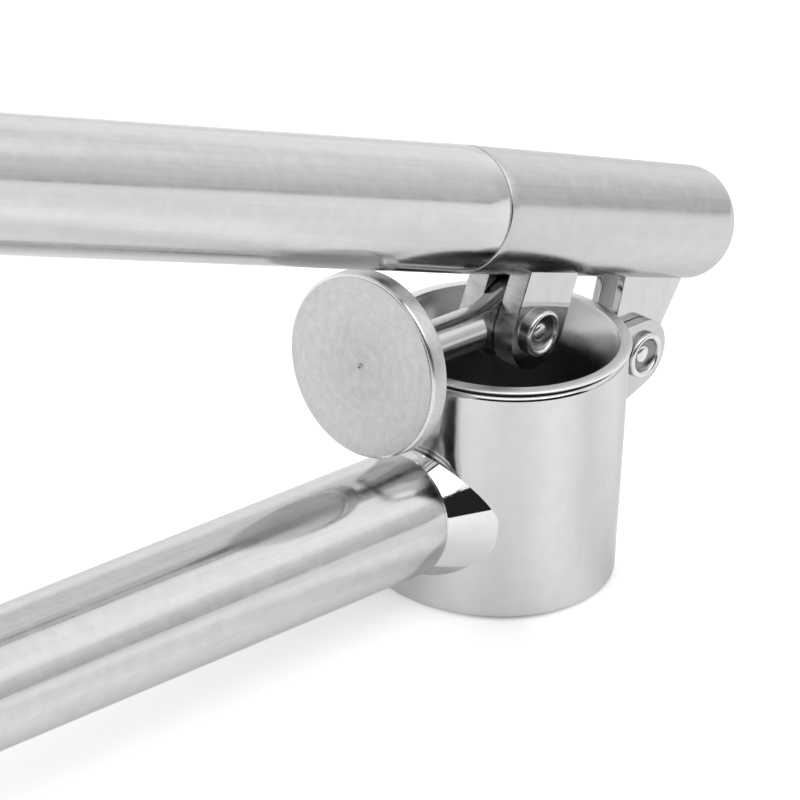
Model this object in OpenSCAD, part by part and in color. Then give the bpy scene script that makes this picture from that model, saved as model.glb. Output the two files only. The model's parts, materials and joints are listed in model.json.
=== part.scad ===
// Hand press for garlic: a round cup with a lift-out sieve, a fixed lower tube handle, and an
// upper tube handle hinged in front of the cup. A disc plunger hangs from a yoke under the handle.
// +Z is the cup's axis, z = 0 is the surface it stands on, and the handles run towards -X.
// The drawn position is handle part open, plunger folded back towards the handles.

/* [Cup] */
// Outer diameter of the cup
cup_d = 36; // [33:0.5:40]
// Height of the cup's rounded rim
cup_h = 35.3; // [32:0.1:38]
// Sheet thickness of the cup wall
cup_wall = 1.0; // [0.8:0.1:1.2]
// Width of the standing ring turned in at the foot
foot_w = 3.2; // [2:0.1:4]

/* [Sieve] */
// Bore of the sieve's straight part
bore_d = 27.2; // [27:0.1:28]
// Wall thickness of the sieve
sieve_wall_t = 0.95; // [0.7:0.05:1.2]
// Outer diameter of the sieve's lip
lip_d = 36.6; // [36:0.1:37]
// Thickness of the lip
lip_t = 0.6; // [0.5:0.05:0.9]
// Shadow gap between cup rim and lip
lip_gap = 0.4; // [0.4:0.05:0.9]
// Height of the funnel above the straight bore
funnel_h = 7; // [5:0.5:9]
// Diameter of one press hole
hole_d = 1.7; // [1.2:0.1:1.8]
// Distance between rings of press holes
hole_pitch = 2.6; // [2.5:0.1:2.7]
// Rings of press holes around the middle hole
hole_rings = 4; // [2:1:4]

/* [Handles] */
// Outer diameter of both handle tubes
tube_d = 18; // [17:0.1:19]
// Wall thickness of the tubes
tube_wall = 1.0; // [0.8:0.1:1.5]
// Length from the hinge pin to each handle's far end
handle_reach = 168; // [140:1:190]
// Height of the lower handle's axis at the cup's axis
lower_axis_z = 13.75; // [12:0.05:15]
// Upward slope of the lower handle
lower_tilt = 3.4; // [2:0.1:5]
// Upward slope of the upper handle as drawn
upper_tilt = 19.6; // [19:0.1:21]
// Distance from the cup's axis to the lower tube's end
lower_start = 20.75; // [20:0.05:22]
// Radius of the neck where it meets the lower tube
neck_r = 8.4; // [8:0.1:8.6]
// Radius gained by the neck on its way into the cup wall
neck_flare = 3.7; // [2.5:0.1:4]
// Depth of every domed tube end
dome_h = 3.8; // [3:0.1:5]

/* [Hinge] */
// Distance of the hinge pin in front of the cup's axis
hinge_x = 26.8; // [26:0.1:28]
// Height of the hinge pin
hinge_z = 25.6; // [25:0.1:27]
// Height of the upper tube's axis over the hinge pin
axis_over_hinge = 19.1; // [18.5:0.1:20]
// Radius of both rivet shanks
shank_r = 1.9; // [1.6:0.1:2.1]
// Radius of the rivets' ring heads
ring_r = 3.45; // [3:0.05:3.8]
// Radius of the ears' rounded ends
ear_r = 5.2; // [5:0.1:5.6]
// Thickness of each ear on the cup
ear_t = 1.6; // [1.2:0.1:1.8]
// Thickness of each bracket plate on the handle
bracket_t = 1.25; // [1:0.05:1.4]
// Clear gap between the two bracket plates
bracket_gap = 2.6; // [2.4:0.1:3]

/* [Front tube] */
// Distance from the hinge pin back to the tube seam
seam_back = 47.2; // [45:0.1:49]
// Distance from the hinge pin to the domed end
front_reach = 10.8; // [10:0.1:12]
// Radius of the front tube at its domed end
front_end_r = 8.3; // [8:0.05:8.8]

/* [Plunger] */
// Distance from the hinge pin back to the plunger pin
yoke_back = 28.1; // [27.8:0.1:28.6]
// Drop of the plunger pin below the upper tube's axis
yoke_drop = 15.9; // [15.6:0.1:16.2]
// Length of each yoke leg along the tube
leg_l = 11.4; // [10.5:0.1:11.6]
// Thickness of each yoke leg
leg_t = 3.45; // [3:0.05:3.6]
// Gap between the yoke legs
slot_w = 3.3; // [3.1:0.1:3.6]
// Diameter of the pressing disc
disc_d = 26.6; // [25:0.1:26.7]
// Thickness of the pressing disc
disc_t = 3.0; // [2.5:0.1:3.5]
// Distance from the plunger pin to the pressing face
plunger_reach = 32.3; // [31:0.1:33]
// Height of the folded disc's centre over the plunger pin, measured across the bar
disc_offset = 1.4; // [0.8:0.1:1.8]
// Height of the folded bar's middle over the plunger pin, measured across the bar
bar_offset = 1.0; // [0.8:0.1:1.2]
// Slope of the folded plunger
plunger_tilt = 3.9; // [3:0.1:4.5]
// Diameter of the round plunger bar
bar_d = 6.2; // [5.6:0.1:6.4]

/* [Hidden] */
$fn = 72;

steel = "gainsboro";
satin = "silver";
dark_steel = "darkgray";

cut = 1;                    // overshoot of a cutting solid
running = 0.05;             // radial clearance of a turning fit
seat = 0.02;                // clearance of a fixed fit
hole_sides = 24;            // sides of a press hole
neck_root = 0.75;           // where the neck's cone starts inside the cup, as a share of its radius
tall = 3;                   // height of a cutting cylinder, in cup heights

cup_r = cup_d / 2;
rim_r = cup_wall / 2;
foot_bend = 1.05;           // outer radius of the bend above the standing ring
tube_r = tube_d / 2;
tube_bore = tube_r - tube_wall;

bore_r = bore_d / 2;
lip_r = lip_d / 2;
lip_edge = lip_t / 2;
lip_z = cup_h + lip_gap;
sieve_top = lip_z + lip_t;
sieve_foot = 1.45;          // underside of the sieve above the table
curl_t = 0.6;               // height of the curl that holds the press plate
curl_w = 1.0;               // how far the curl reaches under the press plate
plate_t = 0.8;
funnel_open = 3.0;          // radius gained over the funnel
funnel_power = 1.6;
funnel_steps = 10;
seat_w = 0.9;               // width of the ring that rests on the cup's rim

leg_in = slot_w / 2;
leg_out = leg_in + leg_t;
leg_end_r = leg_l / 2;
bracket_in = bracket_gap / 2;
bracket_out = bracket_in + bracket_t;
side_gap = 0.12;            // free gap beside a turning plate
ear_in = bracket_out + side_gap;
ear_out = ear_in + ear_t;
bracket_top_w = 7.1;        // half width of a bracket plate where it meets the tube
bracket_waist_w = 5.2;      // half width just above the rounded end
bracket_waist_drop = 14.6;  // depth of the waist below the tube's axis
bracket_lean = 1;           // extra width of the waist on the cup's side
bracket_end_r = 4.6;
bracket_tip_w = 4.25;       // half width and depth where the straight edges run out, inside
bracket_tip_drop = 1.5;     // the round end
bush_r = 3.0;
eye_r = 5.8;                // round end of the bar, about the plunger pin
eye_fillet = 10.5;          // fillet between the bar and its round end
arc_steps = 10;             // straight pieces in one arc of a turned outline
tongue_w = slot_w - 2 * side_gap;   // thickness of the bar where it enters the yoke
shoulder_back = 9.0;        // distance from the plunger pin to the bar's shoulder
disc_bevel = 0.35;
hinge_head_t = 1.0;
yoke_head_t = 1.2;
head_recess = 0.8;          // depth of the dish in a rivet head
dish_r = 2.45;
pin_end_r = shank_r - 0.35; // pin end left standing in the dish
ear_root = 3;               // how far the ear's outline runs into the cup
ear_slope = 18;             // upward slope of the ear's lower edge
ear_rise = 0.6;             // height the ear's upper edge gains towards the cup
ring_len = 0.6;             // length of the step ring beside the neck
ring_step = 0.35;           // step from the tube down to the ring
spigot_len = 14;
skirt_len = 6;
sleeve_len = 24;
sleeve_lip = 0.25;          // visible width of the sleeve between the two tubes
sleeve_step = 0.12;         // depth of that visible band below the tubes
sleeve_play = 0.4;          // play inside the tapered front tube
neck_steps = 6;
neck_power = 1.1;
lower_len = handle_reach - hinge_x;

// ---------- frames ----------

// Lower handle: origin on its axis over the cup's centre, -X along the handle
module lower_frame() {
    translate([0, 0, lower_axis_z])
        rotate([0, lower_tilt, 0])
            children();
}

// Upper handle: origin on its axis over the hinge pin, -X along the handle
module upper_frame() {
    translate([hinge_x, 0, hinge_z])
        rotate([0, upper_tilt, 0])
            translate([0, 0, axis_over_hinge])
                children();
}

// Plunger: origin on its pin, -X towards the pressing face
module plunger_frame() {
    upper_frame()
        translate([-yoke_back, 0, -yoke_drop])
            rotate([0, plunger_tilt - upper_tilt, 0])
                children();
}

// ---------- shapes used more than once ----------

// Round bar from x0 to x1
module bar_x(x0, x1, r) {
    translate([x0, 0, 0])
        rotate([0, 90, 0])
            cylinder(h = x1 - x0, r = r);
}

// Round bar across the press, from y0 to y1
module bar_y(y0, y1, r) {
    translate([0, y0, 0])
        rotate([-90, 0, 0])
            cylinder(h = y1 - y0, r = r);
}

// Plate in the XZ plane between y0 and y1, from the outline given as children
module plate_y(y0, y1) {
    translate([0, y1, 0])
        rotate([90, 0, 0])
            linear_extrude(height = y1 - y0)
                children();
}

// Tube from x0 to x1
module tube_x(x0, x1, r, bore) {
    difference() {
        bar_x(x0, x1, r);
        bar_x(x0 - cut, x1 + cut, bore);
    }
}

// Half outline of a dome: radius r falling to zero over height h
function dome_points(r, h, steps = 12) = [
    for (i = [0 : steps]) let (a = 90 * i / steps) [r * pow(cos(a), 0.8), h * pow(sin(a), 0.8)]
];

// Closed domed cap with its open rim at x = 0, growing towards +X
module dome_cap(r) {
    inner_r = r - 2 * tube_wall;
    rotate([0, 90, 0])
        rotate_extrude()
            difference() {
                polygon(concat([[0, 0]], dome_points(r, dome_h)));
                polygon(concat([[0, -cut], [inner_r, -cut]],
                               dome_points(inner_r, dome_h - tube_wall)));
            }
}

// Rivet across the press: shank half length, head thickness, one dished ring head per side
module rivet(half, head_t) {
    difference() {
        union() {
            bar_y(-half, half, shank_r);
            for (side = [-1, 1])
                rivet_head(side, half, head_t);
        }
        for (side = [-1, 1])
            rivet_dish(side, half + head_t);
    }
}

module rivet_head(side, half, head_t) {
    y0 = side > 0 ? half : -half - head_t;
    bar_y(y0, y0 + head_t, ring_r);
}

// Ring-shaped dish that leaves the pin end standing in the middle
module rivet_dish(side, outer) {
    y0 = side > 0 ? outer - head_recess : -outer - cut;
    difference() {
        bar_y(y0, y0 + head_recess + cut, dish_r);
        bar_y(y0 - cut, y0 + head_recess + 2 * cut, pin_end_r);
    }
}

// ---------- cup ----------

// Half section of the cup wall: rounded rim, straight wall, bend and standing ring
module cup_section() {
    translate([cup_r - rim_r, cup_h - rim_r])
        circle(r = rim_r);
    translate([cup_r - cup_wall, foot_bend])
        square([cup_wall, cup_h - rim_r - foot_bend]);
    intersection() {
        translate([cup_r - foot_bend, foot_bend])
            difference() {
                circle(r = foot_bend);
                circle(r = foot_bend - cup_wall);
            }
        translate([cup_r - foot_bend, 0])
            square([foot_bend, foot_bend]);
    }
    translate([cup_r - foot_w, 0])
        square([foot_w - foot_bend, cup_wall]);
}

module cup_shell() {
    color(steel)
        rotate_extrude()
            cup_section();
}

// ---------- sieve ----------

function funnel_r(t) = bore_r + funnel_open * pow(t, funnel_power);

// Inner side of the funnel from the straight bore up to the lip, moved out by grow
function funnel_side(grow) = [
    for (i = [0 : funnel_steps]) let (t = i / funnel_steps)
        [funnel_r(t) + grow, sieve_top - funnel_h + funnel_h * t]
];

function turned_round(list) = [for (i = [len(list) - 1 : -1 : 0]) list[i]];

// Half section of the sieve, drawn as one outline: foot curl, straight bore, funnel, round lip
// edge, and the step under the lip that rests on the cup's rim
module sieve_section() {
    wall_r = bore_r + sieve_wall_t;
    step_r = cup_r - rim_r;
    edge_r = lip_r - lip_edge;
    edge = [for (a = [90 : -15 : -90]) [edge_r + lip_edge * cos(a), lip_z + lip_edge * (1 + sin(a))]];
    outer = [for (p = turned_round(funnel_side(sieve_wall_t))) if (p[1] < cup_h) p];
    polygon(concat(
        [[wall_r, sieve_foot], [bore_r - curl_w, sieve_foot]],
        [[bore_r - curl_w, sieve_foot + curl_t], [bore_r, sieve_foot + curl_t]],
        funnel_side(0), edge,
        [[step_r, lip_z], [step_r, cup_h + seat], [step_r - seat_w, cup_h + seat]],
        outer
    ));
}

module sieve_cup() {
    color(satin)
        rotate_extrude()
            sieve_section();
}

module press_holes() {
    cylinder(h = plate_t + 2 * cut, d = hole_d, $fn = hole_sides);
    for (ring = [1 : hole_rings])
        for (i = [0 : 6 * ring - 1])
            rotate([0, 0, 60 * i / ring])
                translate([hole_pitch * ring, 0, 0])
                    cylinder(h = plate_t + 2 * cut, d = hole_d, $fn = hole_sides);
}

module sieve_plate() {
    color(dark_steel)
        translate([0, 0, sieve_foot + curl_t])
            difference() {
                cylinder(h = plate_t, r = bore_r - seat);
                translate([0, 0, -cut])
                    press_holes();
            }
}

// ---------- neck and lower handle ----------

// Solid neck from the lower tube's end, straight through the ring, then widening into the cup
module neck_body() {
    flare_len = lower_start - ring_len - neck_root * cup_r;
    side = [
        for (i = [0 : neck_steps]) let (t = i / neck_steps)
            [neck_r + neck_flare * pow(t, neck_power), ring_len + flare_len * t]
    ];
    translate([-lower_start, 0, 0])
        rotate([0, 90, 0])
            rotate_extrude()
                polygon(concat([[0, 0], [neck_r, 0]], side, [[0, ring_len + flare_len]]));
}

module neck_collar() {
    color(steel)
        difference() {
            lower_frame()
                neck_body();
            translate([0, 0, -cup_h])
                cylinder(h = tall * cup_h, r = cup_r);
        }
}

module neck_ring() {
    color(steel)
        lower_frame()
            tube_x(-lower_start, -lower_start + ring_len, tube_r - ring_step, neck_r + seat);
}

module lower_spigot() {
    color(satin)
        lower_frame()
            bar_x(-lower_start - spigot_len, -lower_start, tube_bore - seat);
}

module lower_tube() {
    color(satin)
        lower_frame()
            tube_x(-lower_len + dome_h, -lower_start, tube_r, tube_bore);
}

// Cap that closes a tube's far end at x = end, with a skirt inside the tube
module end_cap(end) {
    translate([end + dome_h, 0, 0])
        mirror([1, 0, 0]) {
            dome_cap(tube_r);
            tube_x(-skirt_len, 0, tube_bore - seat, tube_bore - tube_wall);
        }
}

module lower_end_cap() {
    color(satin)
        lower_frame()
            end_cap(-lower_len);
}

// ---------- hinge ----------

// Outline of an ear: rounded about the pin, with straight edges back to the cup
module ear_outline() {
    root_x = cup_r - ear_root;
    low = [hinge_x + ear_r * sin(ear_slope), hinge_z - ear_r * cos(ear_slope)];
    translate([hinge_x, hinge_z])
        circle(r = ear_r);
    polygon([
        [root_x, low[1] - (low[0] - root_x) * tan(ear_slope)],
        low,
        [hinge_x, hinge_z],
        [hinge_x, hinge_z + ear_r],
        [root_x, hinge_z + ear_r + ear_rise]
    ]);
}

module ear(y0) {
    difference() {
        plate_y(y0, y0 + ear_t)
            ear_outline();
        cylinder(h = tall * cup_h, r = cup_r);
        translate([hinge_x, 0, hinge_z])
            bar_y(-cup_r, cup_r, shank_r + seat);
    }
}

module ear_near() {
    color(steel)
        ear(-ear_out);
}

module ear_far() {
    color(steel)
        ear(ear_in);
}

module hinge_rivet() {
    color(steel)
        translate([hinge_x, 0, hinge_z])
            rivet(ear_out + seat, hinge_head_t);
}

module hinge_bush() {
    color(dark_steel)
        translate([hinge_x, 0, hinge_z])
            difference() {
                bar_y(-bracket_in, bracket_in, bush_r);
                bar_y(-bracket_in - cut, bracket_in + cut, shank_r + running);
            }
}

// Outline of a bracket plate under the upper tube, narrowing towards the pin
module bracket_outline() {
    polygon([
        [-bracket_top_w, 0],
        [bracket_top_w, 0],
        [bracket_top_w, -front_end_r],
        [bracket_waist_w, -bracket_waist_drop],
        [bracket_tip_w, -axis_over_hinge - bracket_tip_drop],
        [-bracket_tip_w, -axis_over_hinge - bracket_tip_drop],
        [-bracket_waist_w - bracket_lean, -bracket_waist_drop],
        [-bracket_top_w, -front_end_r]
    ]);
}

module bracket(y0) {
    difference() {
        union() {
            upper_frame()
                plate_y(y0, y0 + bracket_t)
                    bracket_outline();
            translate([hinge_x, 0, hinge_z])
                bar_y(y0, y0 + bracket_t, bracket_end_r);
        }
        upper_frame()
            front_solid();
        translate([hinge_x, 0, hinge_z])
            bar_y(-cup_r, cup_r, shank_r + running);
    }
}

module bracket_near() {
    color(steel)
        bracket(-bracket_out);
}

module bracket_far() {
    color(steel)
        bracket(bracket_in);
}

// ---------- upper handle ----------

// Radius of the slightly tapered front tube at distance x from the hinge pin
function front_r(x) =
    tube_r + (front_end_r - tube_r) * (x + seam_back) / (seam_back + front_reach - dome_h);

// Solid form of the front tube, carried on past its dome, that shapes what is welded to it
module front_solid() {
    translate([-seam_back, 0, 0])
        rotate([0, 90, 0])
            cylinder(h = seam_back + front_reach, r1 = tube_r, r2 = front_r(front_reach));
}

module front_section() {
    len = seam_back + front_reach - dome_h;
    inner_r = front_end_r - tube_wall;
    lifted = [for (p = dome_points(front_end_r, dome_h)) [p[0], p[1] + len]];
    hollow = [for (p = dome_points(inner_r, dome_h - tube_wall)) [p[0], p[1] + len]];
    difference() {
        polygon(concat([[0, sleeve_lip / 2], [front_r(-seam_back), sleeve_lip / 2]], lifted));
        polygon(concat([[0, -cut], [tube_bore, -cut]], hollow));
    }
}

module front_tube() {
    color(satin)
        upper_frame()
            translate([-seam_back, 0, 0])
                rotate([0, 90, 0])
                    rotate_extrude()
                        front_section();
}

module joint_sleeve() {
    color(steel)
        upper_frame()
            translate([-seam_back, 0, 0])
                difference() {
                    union() {
                        bar_x(-sleeve_len / 2, 0, tube_bore - seat);
                        bar_x(0, sleeve_len / 2, tube_bore - sleeve_play);
                        bar_x(-sleeve_lip / 2, sleeve_lip / 2, tube_r - sleeve_step);
                    }
                    bar_x(-sleeve_len, sleeve_len, tube_bore - tube_wall);
                }
}

module upper_tube() {
    color(satin)
        upper_frame()
            tube_x(-handle_reach + dome_h, -seam_back - sleeve_lip / 2, tube_r, tube_bore);
}

module upper_end_cap() {
    color(satin)
        upper_frame()
            end_cap(-handle_reach);
}

// ---------- yoke and plunger ----------

// Outline of a yoke leg: straight sides down to a round end on the plunger pin
module leg_outline() {
    translate([-yoke_back - leg_l / 2, -yoke_drop])
        square([leg_l, yoke_drop]);
    translate([-yoke_back, -yoke_drop])
        circle(r = leg_end_r);
}

module yoke_leg(y0) {
    upper_frame()
        difference() {
            plate_y(y0, y0 + leg_t)
                leg_outline();
            front_solid();
            translate([-yoke_back, 0, -yoke_drop])
                bar_y(-cup_r, cup_r, shank_r + seat);
        }
}

module yoke_leg_near() {
    color(steel)
        yoke_leg(-leg_out);
}

module yoke_leg_far() {
    color(steel)
        yoke_leg(leg_in);
}

module plunger_rivet() {
    color(steel)
        plunger_frame()
            rivet(leg_out + seat, yoke_head_t);
}

// Turned bar from the disc to its round end, milled flat on both sides where it enters the yoke
module plunger_bar() {
    color(satin)
        plunger_frame()
            difference() {
                translate([0, 0, bar_offset])
                    rotate([0, -90, 0])
                        rotate_extrude()
                            bar_outline();
                for (side = [0, 1])
                    mirror([0, side, 0])
                        translate([-shoulder_back, tongue_w / 2, -cup_r])
                            cube([cup_d, cup_r, cup_d]);
                bar_y(-cup_r, cup_r, shank_r + running);
            }
}

// Half outline of the turned bar, from its round end at the bottom to the disc at the top
module bar_outline() {
    bar_r = bar_d / 2;
    fillet_x = bar_r + eye_fillet;
    fillet_y = sqrt(pow(eye_r + eye_fillet, 2) - pow(fillet_x, 2));
    meet = atan2(fillet_y, fillet_x);
    polygon(concat(
        [for (i = [0 : arc_steps])
            let (a = -90 + (90 + meet) * i / arc_steps)
                [i == 0 ? 0 : eye_r * cos(a), eye_r * sin(a)]],
        [for (i = [1 : arc_steps])
            let (a = 180 + meet * (1 - i / arc_steps))
                [fillet_x + eye_fillet * cos(a), fillet_y + eye_fillet * sin(a)]],
        [[bar_r, plunger_reach - disc_t], [0, plunger_reach - disc_t]]
    ));
}

module plunger_disc() {
    color(steel)
        plunger_frame()
            translate([-plunger_reach, 0, disc_offset])
                rotate([0, 90, 0])
                    union() {
                        cylinder(h = disc_bevel, r1 = disc_d / 2 - disc_bevel, r2 = disc_d / 2);
                        translate([0, 0, disc_bevel])
                            cylinder(h = disc_t - disc_bevel, r = disc_d / 2);
                    }
}

cup_shell();
sieve_cup();
sieve_plate();
neck_collar();
neck_ring();
lower_spigot();
lower_tube();
lower_end_cap();
ear_near();
ear_far();
hinge_rivet();
hinge_bush();
bracket_near();
bracket_far();
front_tube();
joint_sleeve();
upper_tube();
upper_end_cap();
yoke_leg_near();
yoke_leg_far();
plunger_rivet();
plunger_bar();
plunger_disc();
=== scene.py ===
"""Looks for the garlic press: turned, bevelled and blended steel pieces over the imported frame.

The frame is in metres. +Z is the cup's axis, z = 0 is the table, the handles run towards -X and
the camera stands on the -Y side.
"""

import json
from math import cos, pi, radians, sin, sqrt, tan
import bmesh
import bpy
from mathutils import Matrix, Vector

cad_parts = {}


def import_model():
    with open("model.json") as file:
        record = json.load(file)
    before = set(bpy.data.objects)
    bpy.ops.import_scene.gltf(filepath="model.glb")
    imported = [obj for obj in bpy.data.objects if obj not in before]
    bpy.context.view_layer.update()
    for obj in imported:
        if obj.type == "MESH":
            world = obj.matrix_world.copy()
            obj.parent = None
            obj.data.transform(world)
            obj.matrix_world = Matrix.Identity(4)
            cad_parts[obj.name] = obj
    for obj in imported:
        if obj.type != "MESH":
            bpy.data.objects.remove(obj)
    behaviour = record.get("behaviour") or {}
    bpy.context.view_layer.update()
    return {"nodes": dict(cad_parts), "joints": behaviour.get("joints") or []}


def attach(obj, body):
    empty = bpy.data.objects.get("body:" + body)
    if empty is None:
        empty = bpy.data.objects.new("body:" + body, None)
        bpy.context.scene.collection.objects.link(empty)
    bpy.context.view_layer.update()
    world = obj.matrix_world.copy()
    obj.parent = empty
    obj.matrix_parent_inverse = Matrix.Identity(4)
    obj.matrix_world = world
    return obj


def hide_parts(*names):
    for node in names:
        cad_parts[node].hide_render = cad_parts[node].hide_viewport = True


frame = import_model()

MM = 0.001
WELD, POLE_R = 1e-7, 1e-6   # vertices this close are one, in metres; a radius this small is a pole
SEGMENTS, CUP_SEGMENTS, PIN_SEGMENTS, BAR_SEGMENTS = 160, 224, 72, 360   # sides of turned pieces

# ---------- sizes, in millimetres ----------

CUP_R, CUP_H, CUP_WALL = 18.0, 35.3, 1.0
RIM_R = 0.95                # fillet of the cup's rim
FOOT_W, FOOT_BEND = 3.2, 1.05
CUP_INSIDE_R, FOOT_EDGE = 0.3, 0.25     # fillets inside the cup and under its foot
BORE_R, SIEVE_WALL, SIEVE_FOOT = 13.6, 0.95, 1.45
SIEVE_EDGE = 0.25           # fillet at the foot of the sieve's wall
CURL_T, CURL_W, CURL_EDGE = 0.6, 1.0, 0.2   # the curl that carries the plate with the holes
LIP_R, LIP_T, LIP_GAP = 18.3, 0.6, 0.4
LIP_CROWN = 1.45            # how far in the crown of the lip starts to fall away
LIP_Z = CUP_H + LIP_GAP
SIEVE_TOP = LIP_Z + LIP_T
FUNNEL_H, FUNNEL_OPEN, FUNNEL_POWER = 7.0, 3.0, 1.6
MOUTH_R = 0.15              # rounding of the funnel's upper edge
LIP_STEP, LIP_SEAT = 0.5, 1.4   # the step under the lip: inset from the cup's wall, and its width
SEAT_Z = CUP_H + 0.02       # underside of that step, just clear of the rim

TUBE_R, TUBE_WALL, DOME_H = 9.0, 1.0, 3.8
BACK_EDGE, FRONT_EDGE, BORE_EDGE = 0.12, 0.36, 0.1  # eased ends of a tube: outside, then inside
DOME_POWER = 0.8            # under 1 the dome is fuller than an ellipse
SKIRT_GAP, SKIRT_LEN = 0.02, 6.0        # a cap's skirt inside its tube
HANDLE_REACH = 168.0
LOWER_Z, LOWER_TILT, LOWER_START = 13.75, 3.4, 20.75
NECK_R, RING_R, RING_LEN = 8.4, 8.65, 0.6
NECK_OPEN, NECK_LEN, NECK_POWER = 3.7, 6.65, 1.1
NECK_SINK = 0.03            # how far the neck's edge runs into the cup's wall
NECK_BACK_W = 0.3           # width of the neck's flat back edge, under its ring
RING_FIT, RING_LAP, RING_EDGE = 0.02, 0.3, 0.22     # the ring over the neck and into the tube's end
SEAM_BACK, SEAM_W, FRONT_REACH, FRONT_END_R = 47.2, 0.25, 10.8, 8.3

UPPER_TILT, AXIS_OVER_HINGE = 19.6, 19.1
YOKE_BACK, YOKE_DROP = 28.1, 15.9
LEG_L, LEG_IN, LEG_T = 11.4, 1.65, 3.45
LEG_TOP, BRACKET_TOP = 0.76, 0.9    # where legs and brackets start, as shares of the tube's radius
LEG_BEVEL, BRACKET_BEVEL, EAR_BEVEL = 0.22, 0.15, 0.25
BRACKET_IN, BRACKET_T = 1.3, 1.25
BRACKET_TOP_W, BRACKET_WAIST_W, BRACKET_LEAN = 7.1, 5.2, 1.0
BRACKET_WAIST_DROP, BRACKET_END_R = 14.6, 4.6
BRACKET_END_TURN = 78       # half of the round end's arc, in degrees
EAR_IN, EAR_T, EAR_R, EAR_SLOPE = 2.67, 1.6, 5.2, 18.0
EAR_ROOT, EAR_RISE = 0.6, 0.5   # how far an ear starts inside the cup's wall, and rises towards it

SHANK_R, HEAD_R = 1.9, 3.45
RING_W, BOWL_DEPTH, HEAD_SUNK = 0.95, 1.0, 0.3   # a pin head: its ring's width, the bowl inside it
RING_BULGE = 0.6            # the ring's rounding takes at most this share of the bowl's depth
PIN_END_R, PIN_END_H = 1.4, 0.5
HINGE_HEAD_T, PLUNGER_HEAD_T = 1.0, 1.2
HEAD_GAP = 0.02             # between a head and its plate
BUSH_BORE_R, BUSH_R, BUSH_EDGE, BUSH_BORE_EDGE = 1.95, 3.0, 0.2, 0.1
PLUNGER_REACH, DISC_R, DISC_T = 32.3, 13.3, 3.0
DISC_EDGE, DISC_BACK_EDGE, DISC_TAPER = 0.5, 0.4, 0.1
DIMPLE = ((0.35, 0), (0.30, 0.2), (0.02, 0.55))     # lathe-centre dimple, as (depth, radius)
FACE_SKIN = 0.01            # what counts as the disc's flat face
DISC_OFFSET, BAR_OFFSET, BAR_R = 1.4, 1.0, 3.1
PLUNGER_TILT, EYE_R, EYE_FILLET = 3.9, 5.8, 10.5
TONGUE_W, SHOULDER_BACK = 3.06, 9.0
FLAT_STEP = 0.05            # half the run of the milled shoulder
PLATE_SHARP = 12            # plates shade flat right up to their bevels, in degrees


def joint_place(name):
    """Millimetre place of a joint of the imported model."""
    joint = next(j for j in frame["joints"] if j["name"] == name)
    return Vector(joint["pos_m"]) / MM


HINGE = joint_place("handle_hinge")
PLUNGER_PIN = joint_place("plunger_swing")


def about_y(origin, tilt):
    """Frame at origin, in millimetres, with its -X side tilted up by tilt degrees."""
    return Matrix.Translation(origin) @ Matrix.Rotation(radians(tilt), 4, "Y")


LOWER = about_y(Vector((0, 0, LOWER_Z)), LOWER_TILT)
UPPER = about_y(HINGE, UPPER_TILT) @ Matrix.Translation((0, 0, AXIS_OVER_HINGE))
PLUNGER = about_y(PLUNGER_PIN, PLUNGER_TILT)
CUP = Matrix.Identity(4)


# ---------- meshes ----------

SHARED_EDGE, WHOLE_EDGE = 0.49, 0.98    # share of an edge for a fillet, next to another or not


def piece(name, bm, body, nodes, material, sharp=35):
    """Turns a bmesh in millimetres into a smooth-shaded object that stands for the CAD nodes."""
    bm.transform(Matrix.Scale(MM, 4))
    bmesh.ops.remove_doubles(bm, verts=bm.verts, dist=WELD)
    bmesh.ops.recalc_face_normals(bm, faces=bm.faces)
    for face in bm.faces:
        face.smooth = True
    for edge in bm.edges:
        edge.smooth = len(edge.link_faces) == 2 and edge.calc_face_angle(pi) < radians(sharp)
    mesh = bpy.data.meshes.new(name)
    bm.to_mesh(mesh)
    bm.free()
    obj = bpy.data.objects.new(name, mesh)
    bpy.context.scene.collection.objects.link(obj)
    mesh.materials.append(material)
    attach(obj, body)
    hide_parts(*nodes)
    return obj


def rounded(corners, steps=5):
    """Outline through (a, b, fillet radius) corners, each corner turned into an arc."""
    out = []
    count = len(corners)
    for i, (a, b, radius) in enumerate(corners):
        here = Vector((a, b))
        if radius <= 0:
            out.append(here)
            continue
        before, after = corners[i - 1], corners[(i + 1) % count]
        back, ahead = Vector(before[:2]) - here, Vector(after[:2]) - here
        half = back.angle(ahead) / 2
        room = [side.length * (SHARED_EDGE if other[2] > 0 else WHOLE_EDGE)
                for side, other in ((back, before), (ahead, after))]
        reach = min(radius / tan(half), *room)
        radius = reach * tan(half)
        middle = here + (back.normalized() + ahead.normalized()).normalized() * (radius / sin(half))
        start = here + back.normalized() * reach - middle
        turn = start.angle_signed(here + ahead.normalized() * reach - middle)
        for k in range(steps + 1):
            spin = Matrix.Rotation(-turn * k / steps, 2)
            out.append(middle + spin @ start)
    return out


def arc(centre, radius, start, end, steps=12):
    """Arc points in a plane, angles in degrees."""
    angles = [radians(start + (end - start) * k / steps) for k in range(steps + 1)]
    return [Vector((centre[0] + radius * cos(a), centre[1] + radius * sin(a))) for a in angles]


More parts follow.
